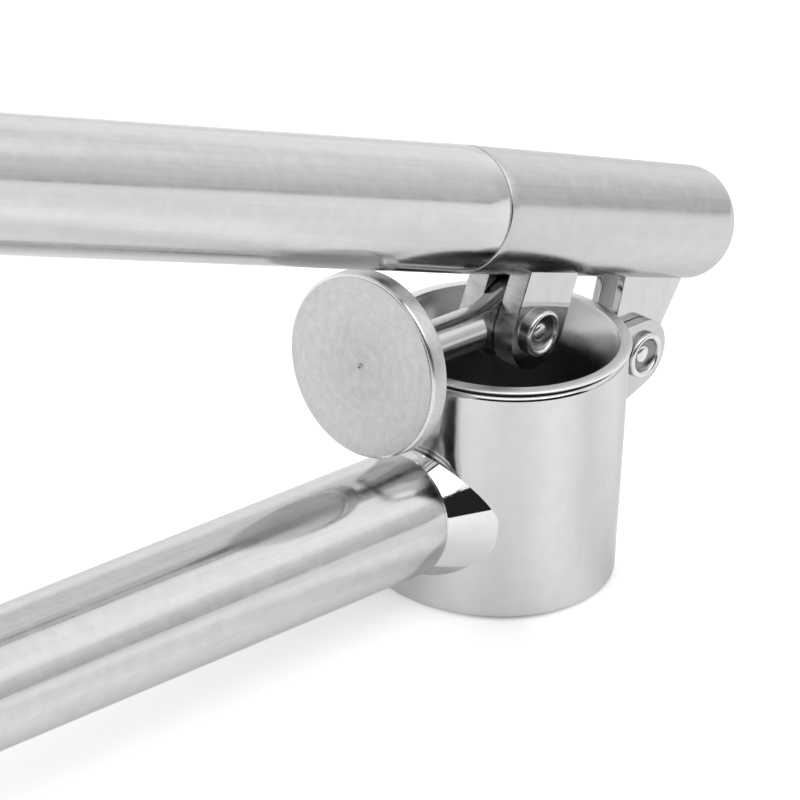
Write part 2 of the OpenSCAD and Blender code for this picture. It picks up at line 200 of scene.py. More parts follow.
def lathe(bm, outline, frame_matrix, axis="X", closed=True, segments=SEGMENTS):
    """Turns (along, radius) points round an axis of the frame. A zero radius becomes a pole."""
    directions = {"X": (Vector((1, 0, 0)), Vector((0, 0, 1)), Vector((0, 1, 0))),
                  "Y": (Vector((0, 1, 0)), Vector((1, 0, 0)), Vector((0, 0, 1))),
                  "Z": (Vector((0, 0, 1)), Vector((1, 0, 0)), Vector((0, 1, 0)))}
    along, first, second = directions[axis]
    rings = []
    for a, r in outline:
        if r < POLE_R:
            rings.append([bm.verts.new(frame_matrix @ (along * a))])
            continue
        ring = []
        for k in range(segments):
            t = 2 * pi * k / segments
            spoke = first * cos(t) + second * sin(t)
            ring.append(bm.verts.new(frame_matrix @ (along * a + spoke * r)))
        rings.append(ring)
    pairs = list(zip(rings, rings[1:]))
    if closed:
        pairs.append((rings[-1], rings[0]))
    for low, high in pairs:
        if len(low) == 1 and len(high) == 1:
            continue
        for k in range(segments):
            n = (k + 1) % segments
            if len(low) == 1:
                bm.faces.new((low[0], high[n], high[k]))
            elif len(high) == 1:
                bm.faces.new((low[k], low[n], high[0]))
            else:
                bm.faces.new((low[k], low[n], high[n], high[k]))


def plate(bm, outline, side, start, thickness, frame_matrix, bevel):
    """Plate in the frame's XZ plane, from start outwards on one side, with every edge bevelled."""
    sides = []
    for y in sorted((side * start, side * (start + thickness))):
        sides.append([bm.verts.new(frame_matrix @ Vector((p[0], y, p[1]))) for p in outline])
    faces = [bm.faces.new(sides[0]), bm.faces.new(list(reversed(sides[1])))]
    rims = [e for f in faces for e in f.edges]
    count = len(outline)
    for k in range(count):
        n = (k + 1) % count
        bm.faces.new((sides[0][k], sides[1][k], sides[1][n], sides[0][n]))
    bmesh.ops.bevel(bm, geom=rims, offset=bevel, segments=3, profile=0.5, affect="EDGES",
                    clamp_overlap=True)


# ---------- materials ----------

EDGE_TINT = 0.8             # reflectance of steel near the grazing angle, against its face
PATCH_SHARE, BAND_SHARE = 1.7, 0.45     # of a turned face's mottle, against its fine rings
HUB_SHARE, HUB_R = 2.0, 9.0     # how much darker a turned face is at its middle, and out to where
PATCH_SCALE, WAVE_SCALE = 420.0, 90.0   # noise on every steel, per metre
WAVE_DEPTH, WAVE_STRENGTH = 0.00002, 0.12
RING_SCALE, BAND_SCALE, BLOTCH_SCALE = 2600.0, 520.0, 800.0     # noise on a turned face
WOBBLE_SCALE, WOBBLE = 160.0, 0.0006    # how far the lathe rings stray, in metres
GRAIN_DEPTH, GRAIN_STRENGTH = 0.00002, 0.6
TURNED_SPREAD = 0.06        # how far a turned face's roughness wanders


class Nodes:
    """Short way to write a node tree."""

    def __init__(self, tree):
        self.tree = tree

    def add(self, kind, **values):
        node = self.tree.nodes.new(kind)
        for key, value in values.items():
            if hasattr(node, key):
                setattr(node, key, value)
            else:
                node.inputs[key.replace("_", " ")].default_value = value
        return node

    def link(self, source, target):
        self.tree.links.new(source, target)

    def noise(self, vector, scale, detail=3.0, rough=0.55):
        node = self.add("ShaderNodeTexNoise", Scale=scale, Detail=detail, Roughness=rough)
        self.link(vector, node.inputs["Vector"])
        return node.outputs["Fac"]

    def spread(self, value, low, high, start=0.3, end=0.7):
        node = self.add("ShaderNodeMapRange")
        node.inputs["From Min"].default_value = start
        node.inputs["From Max"].default_value = end
        node.inputs["To Min"].default_value = low
        node.inputs["To Max"].default_value = high
        self.link(value, node.inputs["Value"])
        return node.outputs["Result"]

    def math(self, operation, a, b):
        node = self.add("ShaderNodeMath", operation=operation)
        for socket, value in zip(node.inputs, (a, b)):
            if isinstance(value, (int, float)):
                socket.default_value = value
            else:
                self.link(value, socket)
        return node.outputs["Value"]

    def grey(self, value):
        node = self.add("ShaderNodeCombineColor")
        for socket in ("Red", "Green", "Blue"):
            self.link(value, node.inputs[socket])
        return node.outputs["Color"]

    def bump(self, height, distance, strength=1.0, below=None):
        node = self.add("ShaderNodeBump", Distance=distance, Strength=strength)
        self.link(height, node.inputs["Height"])
        if below is not None:
            self.link(below, node.inputs["Normal"])
        return node.outputs["Normal"]


def into_frame(nodes, frame_matrix, stretch):
    """Object coordinates turned into a piece's own frame, then stretched."""
    coordinates = nodes.add("ShaderNodeTexCoord")
    inverse = frame_matrix.inverted()
    place = nodes.add("ShaderNodeMapping", vector_type="POINT")
    place.inputs["Location"].default_value = inverse.to_translation() * MM
    place.inputs["Rotation"].default_value = inverse.to_euler()
    nodes.link(coordinates.outputs["Object"], place.inputs["Vector"])
    scale = nodes.add("ShaderNodeMapping", vector_type="POINT")
    scale.inputs["Scale"].default_value = stretch
    nodes.link(place.outputs["Vector"], scale.inputs["Vector"])
    return place.outputs["Vector"], scale.outputs["Vector"]


def metal(name):
    """New metallic material with its node tree and its shader."""
    material = bpy.data.materials.new(name)
    material.use_nodes = True
    shader = material.node_tree.nodes["Principled BSDF"]
    shader.inputs["Metallic"].default_value = 1.0
    shader.inputs["Specular Tint"].default_value = (EDGE_TINT, EDGE_TINT, EDGE_TINT, 1)
    return material, Nodes(material.node_tree), shader


def steel(name, frame_matrix, grey, rough, stretch, scratch=0.000002, mottle=0.04, spread=0.05):
    """Stainless steel with marks that run along the frame's stretched directions.

    grey is its reflectance, rough its mean roughness, spread how far roughness wanders, mottle how
    far the tone wanders, and scratch the depth of the fine marks in metres.
    """
    material, nodes, shader = metal(name)
    place, stretched = into_frame(nodes, frame_matrix, stretch)
    streaks = nodes.noise(stretched, 1.0, 4.0, 0.6)
    patches = nodes.noise(place, PATCH_SCALE, 3.0, 0.6)

    def wander(far, mean):
        both = [nodes.spread(marks, -far, far) for marks in (streaks, patches)]
        return nodes.math("ADD", nodes.math("ADD", *both), mean)

    nodes.link(nodes.grey(wander(mottle, grey)), shader.inputs["Base Color"])
    nodes.link(wander(spread, rough), shader.inputs["Roughness"])
    waves = nodes.bump(nodes.noise(place, WAVE_SCALE, 2.0), WAVE_DEPTH, WAVE_STRENGTH)
    nodes.link(nodes.bump(streaks, scratch, 1.0, waves), shader.inputs["Normal"])
    return material


def turned_steel(name, frame_matrix, grey, rough, depth, mottle):
    """Steel with fine lathe rings, depth metres deep, round the frame's X axis."""
    material, nodes, shader = metal(name)
    place, flat = into_frame(nodes, frame_matrix, (0, 1, 1))
    radius = nodes.add("ShaderNodeVectorMath", operation="LENGTH")
    nodes.link(flat, radius.inputs[0])
    wobble = nodes.math("MULTIPLY", nodes.noise(place, WOBBLE_SCALE, 2.0), WOBBLE)
    reach = nodes.math("ADD", radius.outputs["Value"], wobble)
    line = nodes.add("ShaderNodeCombineXYZ")
    nodes.link(reach, line.inputs["X"])
    rings = nodes.noise(line.outputs["Vector"], RING_SCALE, 3.0, 0.7)
    bands = nodes.noise(line.outputs["Vector"], BAND_SCALE, 2.0, 0.5)
    patches = nodes.noise(place, BLOTCH_SCALE, 4.0, 0.7)
    tone = nodes.spread(reach, -mottle * HUB_SHARE, 0.0, 0.0, HUB_R * MM)
    for marks, share in ((bands, BAND_SHARE), (patches, PATCH_SHARE), (rings, 1)):
        tone = nodes.math("ADD", tone, nodes.spread(marks, -mottle * share, mottle * share))
    nodes.link(nodes.grey(nodes.math("ADD", tone, grey)), shader.inputs["Base Color"])
    nodes.link(nodes.spread(patches, rough - TURNED_SPREAD, rough + TURNED_SPREAD),
               shader.inputs["Roughness"])
    grain = nodes.bump(patches, GRAIN_DEPTH, GRAIN_STRENGTH)
    nodes.link(nodes.bump(rings, depth, 1.0, grain), shader.inputs["Normal"])
    return material


DISC_FRAME = PLUNGER @ Matrix.Translation((-PLUNGER_REACH, 0, DISC_OFFSET))
CUP_TURNED = Matrix.Rotation(radians(90), 4, "Y")      # its X axis is the cup's axis

UPPER_SATIN = steel("upper_satin", UPPER, 0.66, 0.13, (30, 1500, 1500),
                    scratch=0.000001, mottle=0.024, spread=0.03)
FRONT_SATIN = steel("front_satin", UPPER, 0.59, 0.2, (30, 1500, 1500),
                    scratch=0.000001, mottle=0.024, spread=0.03)
LOWER_SATIN = steel("lower_satin", LOWER, 0.64, 0.14, (60, 1500, 1500), mottle=0.03, spread=0.04)
CUP_STEEL = steel("cup_steel", CUP, 0.66, 0.11, (260, 260, 60),
                  scratch=0.0000005, mottle=0.016, spread=0.025)
NECK_STEEL = steel("neck_steel", LOWER, 0.77, 0.035, (400, 400, 400),
                   scratch=0.0000005, mottle=0.01, spread=0.01)
YOKE_STEEL = steel("yoke_steel", UPPER, 0.60, 0.08, (500, 500, 120),
                   scratch=0.000001, mottle=0.02, spread=0.02)
SAWN_STEEL = steel("sawn_steel", UPPER, 0.46, 0.3, (300, 300, 900),
                   scratch=0.00001, mottle=0.09, spread=0.08)
BRACKET_STEEL = steel("bracket_steel", UPPER, 0.60, 0.12, (500, 500, 120),
                      scratch=0.000001, mottle=0.02, spread=0.03)
EAR_STEEL = steel("ear_steel", CUP, 0.56, 0.14, (120, 500, 500),
                  scratch=0.000001, mottle=0.02, spread=0.03)
RIVET_STEEL = steel("rivet_steel", CUP, 0.76, 0.26, (900, 900, 900),
                    scratch=0.000001, mottle=0.02, spread=0.03)
# painted shade: a dark copy of the rivet's steel for each head's side and the bowl inside its ring
RIVET_SHADE_STEEL = steel("rivet_painted_shade", CUP, 0.27, 0.3, (900, 900, 900),
                   scratch=0.000001, mottle=0.03, spread=0.03)
BAR_STEEL = steel("bar_steel", PLUNGER, 0.60, 0.2, (60, 900, 900),
                  scratch=0.000001, mottle=0.02, spread=0.03)
DISC_STEEL = turned_steel("disc_steel", DISC_FRAME, 0.61, 0.36, 0.000003, mottle=0.041)
# painted shade: the sieve's steel is set darker than the cup's for the shade that falls inside the
# cup
SIEVE_SHADE_STEEL = steel("sieve_painted_shade", CUP, 0.52, 0.24, (300, 300, 300),
                    scratch=0.000001, mottle=0.012, spread=0.02)
# painted light: the lip's top is a much lighter copy of the sieve's steel, where light falls on it;
# its higher roughness is its satin finish
LIP_LIGHT_STEEL = steel("lip_painted_light", CUP, 0.87, 0.34, (150, 150, 150),
                  scratch=0.0000005, mottle=0.01, spread=0.02)
# painted shade: the sieve plate's steel is set dark for the shade at the bottom of the cup
PLATE_SHADE_STEEL = turned_steel("plate_painted_shade", CUP_TURNED, 0.3, 0.34, 0.000002, mottle=0.03)
# painted shade: near-black steel on the step under the lip, where shade falls in the gap over the
# rim
GAP_SHADE_STEEL = steel("gap_painted_shade", CUP, 0.05, 0.5, (400, 400, 400), mottle=0.01)
INNER_STEEL = steel("inner_steel", LOWER, 0.5, 0.3, (200, 800, 800))


# ---------- cup ----------


def cup_shell():
    """Rounded rim, straight wall, bend and standing ring, as (z, radius)."""
    outline = rounded([
        (CUP_H, CUP_R, RIM_R),
        (CUP_H, CUP_R - CUP_WALL, 0),
        (CUP_WALL, CUP_R - CUP_WALL, CUP_INSIDE_R),
        (CUP_WALL, CUP_R - FOOT_W, FOOT_EDGE),
        (0, CUP_R - FOOT_W, FOOT_EDGE),
        (0, CUP_R, FOOT_BEND),
    ], 12)
    bm = bmesh.new()
    lathe(bm, outline, CUP, "Z", segments=CUP_SEGMENTS)
    return piece("cup_wall", bm, "base", ["cup_shell"], CUP_STEEL)


def funnel(grow, count=14):
    """Funnel side from the straight bore up to the lip, as (z, radius)."""
    shares = [k / count for k in range(count + 1)]
    return [Vector((SIEVE_TOP - FUNNEL_H * (1 - share),
                    BORE_R + grow + FUNNEL_OPEN * share ** FUNNEL_POWER)) for share in shares]


def sieve_cup():
    """Foot curl, straight bore, funnel, rounded lip and the step that rests on the rim."""
    wall_r = BORE_R + SIEVE_WALL
    curl_r, curl_z = BORE_R - CURL_W, SIEVE_FOOT + CURL_T
    seat_r, seat_in = CUP_R - LIP_STEP, CUP_R - LIP_SEAT
    round_z = SIEVE_TOP - MOUTH_R
    outline = rounded([
        (SIEVE_FOOT, wall_r, SIEVE_EDGE),
        (SIEVE_FOOT, curl_r, CURL_EDGE),
        (curl_z, curl_r, CURL_EDGE),
        (curl_z, BORE_R, 0),
    ], 4)
    inner = funnel(0)
    outline += [p for p in inner if p[0] < round_z]
    mouth = arc((inner[-1][1] + MOUTH_R, round_z), MOUTH_R, 165, 90, 5)
    outline += [Vector((height, reach)) for reach, height in mouth]
    for turn in (radians(90 - 180 * k / 24) for k in range(25)):
        height = LIP_Z + LIP_T / 2 * (1 + sin(turn))
        outline.append(Vector((height, LIP_R - LIP_CROWN * (1 - cos(turn)))))
    outline += [Vector((LIP_Z, seat_r)), Vector((SEAT_Z, seat_r)), Vector((SEAT_Z, seat_in))]
    outline += [p for p in reversed(funnel(SIEVE_WALL)) if p[0] < CUP_H]
    bm = bmesh.new()
    lathe(bm, outline, CUP, "Z", segments=CUP_SEGMENTS)
    liner = piece("sieve_liner", bm, "sieve", ["sieve_cup"], SIEVE_SHADE_STEEL)
    liner.data.materials.append(GAP_SHADE_STEEL)
    liner.data.materials.append(LIP_LIGHT_STEEL)
    for face in liner.data.polygons:
        height, reach = face.center.z / MM, face.center.xy.length / MM
        # the top of the lip takes the lighter painted-light copy
        if height > LIP_Z + LIP_T / 10 and reach > BORE_R + FUNNEL_OPEN:
            face.material_index = 2
        # the step under the lip gets the near-black painted shade
        elif height > CUP_H and reach > seat_in:
            face.material_index = 1
    return liner


# ---------- neck and lower handle ----------


def neck_radius(along):
    """Radius of the neck that far beyond its ring: a cone that opens a little faster as it goes."""
    return NECK_R + NECK_OPEN * (along / NECK_LEN) ** NECK_POWER


def neck_point(spoke, along):
    """Place on the neck that far beyond its ring, in the direction of the spoke."""
    return LOWER @ (spoke * neck_radius(along) + Vector((RING_LEN - LOWER_START + along, 0, 0)))


def neck_end(spoke):
    """How far beyond its ring the neck meets the cup's wall, found by halving."""
    near, far = 0.0, NECK_LEN
    for _ in range(30):
        middle = (near + far) / 2
        if neck_point(spoke, middle).xy.length > CUP_R - NECK_SINK:
            near = middle
        else:
            far = middle
    return near


def neck_collar():
    """Round neck that widens from its ring until it meets the cup's wall."""
    segments, steps = 192, 16
    bm = bmesh.new()
    rows = []
    for k in range(segments):
        turn = 2 * pi * k / segments
        spoke = Vector((0, sin(turn), cos(turn)))
        back = Vector((-LOWER_START, 0, 0))
        end = neck_end(spoke)
        row = [LOWER @ (spoke * r + back) for r in (NECK_R - NECK_BACK_W, NECK_R)]
        row += [neck_point(spoke, end * s / steps) for s in range(steps + 1)]
        rows.append([bm.verts.new(p) for p in row])
    for k in range(segments):
        n = (k + 1) % segments
        for a in range(len(rows[0]) - 1):
            bm.faces.new((rows[k][a], rows[n][a], rows[n][a + 1], rows[k][a + 1]))
    return piece("neck_flare", bm, "base", ["neck_collar"], NECK_STEEL)


def neck_ring():
    """Thin step ring with a rounded edge."""
    back, front = -LOWER_START - RING_LAP, -LOWER_START + RING_LEN
    outline = rounded([
        (back, NECK_R + RING_FIT, 0),
        (front, NECK_R + RING_FIT, 0),
        (front, RING_R, RING_EDGE),
        (back, RING_R, 0),
    ], 5)
    bm = bmesh.new()
    lathe(bm, outline, LOWER)
    return piece("neck_step", bm, "base", ["neck_ring"], NECK_STEEL)


def tube(name, x0, x1, frame_matrix, body, node, material):
    """Tube with eased ends."""
    bore = TUBE_R - TUBE_WALL
    ends = rounded([(x0, bore, BORE_EDGE), (x0, TUBE_R, BACK_EDGE),
                    (x1, TUBE_R, FRONT_EDGE), (x1, bore, BORE_EDGE)], 4)
    middle, count = (x0 + x1) / 2, 24
    outline = [p for p in ends if p[0] < middle]
    outline += [Vector((x0 + (x1 - x0) * k / count, TUBE_R)) for k in range(1, count)]
    outline += [p for p in ends if p[0] >= middle]
    bm = bmesh.new()
    lathe(bm, outline, frame_matrix)
    return piece(name, bm, body, [node], material)


def dome(radius, height, x, steps=16):
    """Dome outline from its rim at x to its pole, towards +X."""
    points = []
    for k in range(steps + 1):
        t = pi / 2 * k / steps
        points.append(Vector((x + height * sin(t) ** DOME_POWER, radius * cos(t) ** DOME_POWER)))
    points[-1][1] = 0
    return points


def end_cap(name, end, frame_matrix, body, node, material):
    """Domed cap on a tube's far end, with its skirt inside the tube."""
    rim = end + DOME_H
    skirt_r, skirt_end = TUBE_R - TUBE_WALL - SKIRT_GAP, rim + SKIRT_LEN
    outline = [Vector((2 * rim - p[0], p[1])) for p in reversed(dome(TUBE_R, DOME_H, rim))]
    outline += [Vector((rim, skirt_r)), Vector((skirt_end, skirt_r)),
                Vector((skirt_end, skirt_r - TUBE_WALL))]
    bm = bmesh.new()
    lathe(bm, outline, frame_matrix, closed=False)
    return piece(name, bm, body, [node], material)


# ---------- upper handle ----------


def front_radius(x):
    """Radius of the slightly tapered front tube at x."""
    share = (x + SEAM_BACK) / (SEAM_BACK + FRONT_REACH - DOME_H)
    return TUBE_R + (FRONT_END_R - TUBE_R) * share


def front_tube():
    """Front tube with an eased edge at the seam and a domed end."""
    x0, x1 = -SEAM_BACK + SEAM_W / 2, FRONT_REACH - DOME_H
    outline = rounded([(x0, TUBE_R - TUBE_WALL, 0), (x0, front_radius(x0), BACK_EDGE),
                       (x0 + 2, front_radius(x0 + 2), 0)], 4)
    count = 24
    for k in range(2, count):
        x = x0 + (x1 - x0) * k / count
        outline.append(Vector((x, front_radius(x))))
    outline += dome(FRONT_END_R, DOME_H, x1)
    bm = bmesh.new()
    lathe(bm, outline, UPPER, closed=False)
    return piece("front_barrel", bm, "handle", ["front_tube"], FRONT_SATIN)


def leg_outline():
    """Yoke leg: straight sides from inside the tube down to a round end on the plunger pin."""
    half = LEG_L / 2
    top = -front_radius(-YOKE_BACK) * LEG_TOP
    outline = [Vector((-YOKE_BACK - half, top))]
    outline += arc((-YOKE_BACK, -YOKE_DROP), half, 180, 360, 36)
    outline.append(Vector((-YOKE_BACK + half, top)))
    return outline


def yoke_leg(name, side, node):
    """Leg on one side of the bar, with polished faces and a sawn edge."""
    bm = bmesh.new()
    plate(bm, leg_outline(), side, LEG_IN, LEG_T, UPPER, LEG_BEVEL)
    leg = piece(name, bm, "handle", [node], YOKE_STEEL, sharp=PLATE_SHARP)
    leg.data.materials.append(SAWN_STEEL)
    for face in leg.data.polygons:
        if abs(face.normal.y) < 0.5:
            face.material_index = 1
    return leg


def bracket_outline():
    """Bracket plate: from inside the tube, in to a waist, then a round end on the hinge pin."""
    top = -FRONT_END_R * BRACKET_TOP
    low, high = 270 - BRACKET_END_TURN, 270 + BRACKET_END_TURN
    outline = [Vector((-BRACKET_TOP_W, top)),
               Vector((-BRACKET_WAIST_W - BRACKET_LEAN, -BRACKET_WAIST_DROP))]
    outline += arc((0, -AXIS_OVER_HINGE), BRACKET_END_R, low, high, 30)
    outline += [Vector((BRACKET_WAIST_W, -BRACKET_WAIST_DROP)), Vector((BRACKET_TOP_W, top))]
    return outline


def bracket(name, side, node):
    """Bracket plate on one side of the hinge's middle."""
    bm = bmesh.new()
    plate(bm, bracket_outline(), side, BRACKET_IN, BRACKET_T, UPPER, BRACKET_BEVEL)
    return piece(name, bm, "handle", [node], BRACKET_STEEL, sharp=PLATE_SHARP)


def ear_outline():
    """Ear: round about the hinge pin, its edges running back into the cup's wall."""
    root_x = CUP_R - EAR_ROOT
    slope = radians(EAR_SLOPE)
    low_x, low_z = HINGE.x + EAR_R * sin(slope), HINGE.z - EAR_R * cos(slope)
    outline = [Vector((root_x, HINGE.z + EAR_R + EAR_RISE)),
               Vector((root_x, low_z - (low_x - root_x) * tan(slope)))]
    outline += arc((HINGE.x, HINGE.z), EAR_R, EAR_SLOPE - 90, 90, 36)
    return outline


def ear(name, side, node):
    """Ear on one side of the bracket plates."""
    bm = bmesh.new()
    plate(bm, ear_outline(), side, EAR_IN, EAR_T, CUP, EAR_BEVEL)
    return piece(name, bm, "base", [node], EAR_STEEL, sharp=PLATE_SHARP)


# ---------- pins ----------


def head_outline(face, thickness):
    """Ring head as (outward, radius) from the plate's face: side, round ring, bowl and pin end."""
    top, foot = face + thickness, face - HEAD_SUNK
    half = RING_W / 2
    bowl_r = HEAD_R - RING_W
    bowl_z = max(top - BOWL_DEPTH, foot)
    bulge = min(half, (top - bowl_z) * RING_BULGE)
    shoulder = top - bulge
    outline = [Vector((foot, SHANK_R)), Vector((foot, HEAD_R))]
    for a in (pi * k / 16 for k in range(17)):
        outline.append(Vector((shoulder + bulge * sin(a), HEAD_R - half + half * cos(a))))
    shares = [k / 8 for k in range(9)]
    for t in shares:
        out = bowl_z + (shoulder - bowl_z) * (1 - t) ** 2
        outline.append(Vector((out, bowl_r + (PIN_END_R - bowl_r) * t)))
    for t in shares[1:]:
        outline.append(Vector((bowl_z + PIN_END_H * sin(pi / 2 * t), PIN_END_R * cos(pi / 2 * t))))
    outline[-1][1] = 0
    return outline


def rivet(name, place, half, thickness, body, node):
    """Pin across the press with a ring head on each side, with painted shade on its side and in its
    bowl.
    """
    bm = bmesh.new()
    outline = [Vector((0, SHANK_R))] + head_outline(half, thickness)
    for side in (-1, 1):
        half_outline = [Vector((side * p[0], p[1])) for p in outline]
        lathe(bm, half_outline, Matrix.Translation(place), "Y", closed=False, segments=PIN_SEGMENTS)
    pin = piece(name, bm, body, [node], RIVET_STEEL, sharp=50)
    pin.data.materials.append(RIVET_SHADE_STEEL)
    for face in pin.data.polygons:
        spot = face.center / MM - place
        reach, out = spot.xz.length, abs(spot.y) - half
        # the head's side and the bowl inside its ring take the dark painted-shade copy
        beside = reach > HEAD_R - RING_W / 4 and out < thickness - RING_W / 2
        if beside or PIN_END_R < reach < HEAD_R - RING_W:
            face.material_index = 1
    return pin


def hinge_bush():
    """Spacer between the bracket plates."""
    edge = BRACKET_IN
    outline = rounded([(-edge, BUSH_BORE_R, BUSH_BORE_EDGE), (edge, BUSH_BORE_R, BUSH_BORE_EDGE),
                       (edge, BUSH_R, BUSH_EDGE), (-edge, BUSH_R, BUSH_EDGE)], 3)
    bm = bmesh.new()
    lathe(bm, outline, Matrix.Translation(HINGE), "Y", segments=PIN_SEGMENTS)
    return piece("hinge_spacer", bm, "handle", ["hinge_bush"], RIVET_STEEL)


# ---------- plunger ----------


def plunger_disc():
    """Pressing disc: eased edges and a small lathe-centre dimple in its face."""
    hub_r = DIMPLE[-1][1]
    outline = [Vector(point) for point in DIMPLE]
    outline += [Vector((0, hub_r + (DISC_R - 2 * hub_r) * k / 8)) for k in range(1, 9)]
    edges = [(0, DISC_R - DISC_TAPER, DISC_EDGE), (DISC_T, DISC_R, DISC_BACK_EDGE), (DISC_T, 1, 0)]
    outline += rounded(edges, 6)[:-1]
    outline += [Vector((DISC_T, DISC_R / 2)), Vector((DISC_T, 0))]
    bm = bmesh.new()
    lathe(bm, outline, DISC_FRAME, closed=False, segments=CUP_SEGMENTS)
    disc = piece("pressing_disc", bm, "plunger", ["plunger_disc"], DISC_STEEL)
    disc.data.materials.append(RIVET_STEEL)
    home = DISC_FRAME.inverted()
    for face in disc.data.polygons:
        spot = home @ (face.center / MM)
        if FACE_SKIN < spot.x < DISC_EDGE and spot.yz.length > DISC_R - 2 * DISC_EDGE:
            face.material_index = 1
    return disc


def bar_radius(x):
    """Radius of the turned bar at x: round end, fillet, then straight."""
    centre = sqrt((EYE_R + EYE_FILLET) ** 2 - (BAR_R + EYE_FILLET) ** 2)
    meet = centre * EYE_R / (EYE_R + EYE_FILLET)
    if x > -meet:
        return sqrt(max(0.0, EYE_R ** 2 - x * x))
    if x > -centre:
        return BAR_R + EYE_FILLET - sqrt(EYE_FILLET ** 2 - (x + centre) ** 2)
    return BAR_R


def plunger_bar():
    """Turned bar with a filleted round end, milled flat on both sides where it enters the yoke."""
    back = PLUNGER_REACH - DISC_T
    before, behind = SHOULDER_BACK - FLAT_STEP, SHOULDER_BACK + FLAT_STEP
    ball = [EYE_R * cos(pi / 2 * k / 30) for k in range(31)]
    neck = [-before * k / 30 for k in range(1, 31)]
    straight = [-behind - (back - behind) * k / 8 for k in range(9)]
    outline = [Vector((x, bar_radius(x))) for x in ball + neck + straight] + [Vector((-back, 0))]
    outline[0][1] = 0
    bm = bmesh.new()
    lathe(bm, outline, Matrix.Translation((0, 0, BAR_OFFSET)), closed=False, segments=BAR_SEGMENTS)
    for vert in bm.verts:
        if vert.co.x > -SHOULDER_BACK:
            vert.co.y = max(-TONGUE_W / 2, min(TONGUE_W / 2, vert.co.y))
    bm.transform(PLUNGER)
    return piece("plunger_arm", bm, "plunger", ["plunger_bar"], BAR_STEEL, sharp=30)


cup_shell()
sieve_cup()
neck_collar()
neck_ring()
lower_end = -(HANDLE_REACH - HINGE.x)
upper_end = -HANDLE_REACH
seam = -SEAM_BACK - SEAM_W / 2
tube("lower_barrel", lower_end + DOME_H, -LOWER_START, LOWER, "base", "lower_tube", LOWER_SATIN)
end_cap("lower_dome", lower_end, LOWER, "base", "lower_end_cap", LOWER_SATIN)
tube("upper_barrel", upper_end + DOME_H, seam, UPPER, "handle", "upper_tube", UPPER_SATIN)
end_cap("upper_dome", upper_end, UPPER, "handle", "upper_end_cap", UPPER_SATIN)
front_tube()
for suffix, side in (("near", -1), ("far", 1)):
    yoke_leg("leg_" + suffix, side, "yoke_leg_" + suffix)
    bracket("link_" + suffix, side, "bracket_" + suffix)
    ear("lug_" + suffix, side, "ear_" + suffix)
ear_face, leg_face = EAR_IN + EAR_T + HEAD_GAP, LEG_IN + LEG_T + HEAD_GAP
rivet("hinge_pin", HINGE, ear_face, HINGE_HEAD_T, "base", "hinge_rivet")
rivet("plunger_pin", PLUNGER_PIN, leg_face, PLUNGER_HEAD_T, "handle", "plunger_rivet")
hinge_bush()
plunger_disc()
plunger_bar()

for node, material in {
    # the sieve plate takes the dark painted-shade steel
    "sieve_plate": PLATE_SHADE_STEEL,
    "lower_spigot": INNER_STEEL,
    "joint_sleeve": INNER_STEEL,
}.items():
    mesh = frame["nodes"][node].data
    mesh.materials.clear()
    mesh.materials.append(material)


# ---------- studio ----------

VIEW_AZIMUTH, VIEW_ELEVATION, VIEW_ROLL = 49.85, 26.77, 3.07     # degrees
CAMERA_DEPTH = 0.87109      # distance from the camera to the cup's foot, along the view
AIM_RIGHT, AIM_UP = -0.01294, 0.02302       # picture centre beside the cup's foot
LENS, SENSOR = 271.67, 36.0
CLIP_START, CLIP_END = 0.05, 20
FLOOR_HALF, FLOOR_Z = 4.0, -0.0002
FLOOR_GREY, FLOOR_ROUGH, FLOOR_GLOSS = 0.8, 0.9, 0.1
FLOOR_GLOW, FLOOR_LIFT, FLOOR_UNEVEN = 0.20, 0.20, 0.08
FLOOR_LOBES = 5             # brighter lobes round the object
LOBE_TURN = radians(194)    # bearing of one of them
CARD_BEARING = 236.0        # bearing of the dark card from the object, in degrees
CARD_EDGE, CARD_SOFT = 0.38, 0.06       # cosine of its half width, and how softly its sides end
CARD_TOP, CARD_RAGGED = 0.58, 0.30      # height of its upper edge, and how far that wanders
CARD_TOP_SOFT, CARD_FOOT_SOFT = 0.02, 0.03
CARD_SCALE = 26.0           # of the noise that its upper edge follows
CARD_GREY = 0.02
WINDOW_BEARING, WINDOW_HEIGHT = 280.0, 50.0     # degrees
WINDOW_EDGE, WINDOW_SOFT, WINDOW_GLOW = 0.955, 0.02, 0.9    # its edge as a cosine
# greys of the room by the height of a direction, from -1 straight down to 1 straight up
FRONT_STOPS = ((-1, 1.0), (-0.14, 1.0), (-0.01, 0.55), (0.10, 0.68), (0.26, 0.80),
               (0.42, 1.2), (1, 1.0))
BACK_STOPS = ((-1, 1.0), (-0.05, 1.05), (0.05, 1.2), (0.22, 1.15), (0.42, 0.82),
              (0.8, 0.85), (1, 0.95))
FRONT_END, BACK_START = -0.15, 0.25     # where the front of the room gives way to its back, in Y
KEY_PLACE, KEY_TARGET = (-0.3, -0.2, 1.4), (0, 0, 0.02)
KEY_SIZE, KEY_POWER = 1.6, 5


def camera():
    """Camera at the photographed angle: it looks along azimuth from +Y towards +X, and down."""
    azimuth, elevation, roll = map(radians, (VIEW_AZIMUTH, VIEW_ELEVATION, VIEW_ROLL))
    flat = cos(elevation)
    forward = Vector((sin(azimuth) * flat, cos(azimuth) * flat, -sin(elevation)))
    level = Vector((cos(azimuth), -sin(azimuth), 0))
    above = level.cross(forward)
    right = level * cos(roll) + above * sin(roll)
    up = above * cos(roll) - level * sin(roll)
    data = bpy.data.cameras.new("camera")
    data.lens, data.sensor_width = LENS, SENSOR
    data.clip_start, data.clip_end = CLIP_START, CLIP_END
    obj = bpy.data.objects.new("camera", data)
    axes = Matrix((right, up, -forward)).transposed().to_4x4()
    place = right * AIM_RIGHT + up * AIM_UP - forward * CAMERA_DEPTH
    obj.matrix_world = Matrix.Translation(place) @ axes
    bpy.context.scene.collection.objects.link(obj)
    bpy.context.scene.camera = obj


